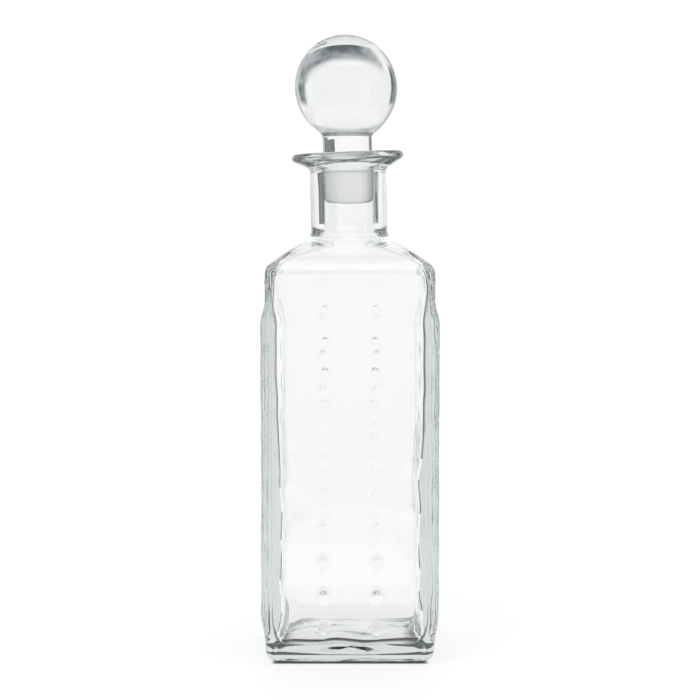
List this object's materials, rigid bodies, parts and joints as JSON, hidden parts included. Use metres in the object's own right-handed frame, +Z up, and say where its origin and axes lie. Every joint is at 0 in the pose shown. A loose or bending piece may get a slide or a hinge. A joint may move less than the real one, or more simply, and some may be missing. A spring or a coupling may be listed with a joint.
{
  "type": "glass decanter with stopper",
  "caption": "Tall square clear-glass decanter with beaded faces, a round neck with a spread lip and a solid ball stopper that lifts out.",
  "frame": {"origin": "centre of the square foot, on the surface the decanter stands on", "axes": "+Z up along the neck and stopper; -Y is one of the four like faces"},
  "size_m": [0.0854, 0.0854, 0.3022],
  "materials": {
    "bottle_glass": "clear moulded glass, polished outside, slightly wavy inside",
    "stopper_glass": "clear solid glass, with the plug ground to a frosted finish"
  },
  "bodies": {
    "bottle": {"decanter_bottle": "bottle_glass"},
    "stopper": {"ball_stopper": "stopper_glass"}
  },
  "joints": [
    {"name": "stopper_lift", "type": "slide", "parent": "bottle", "child": "stopper", "axis": [0, 0, 1], "range_m": [0, 0.06]}
  ]
}
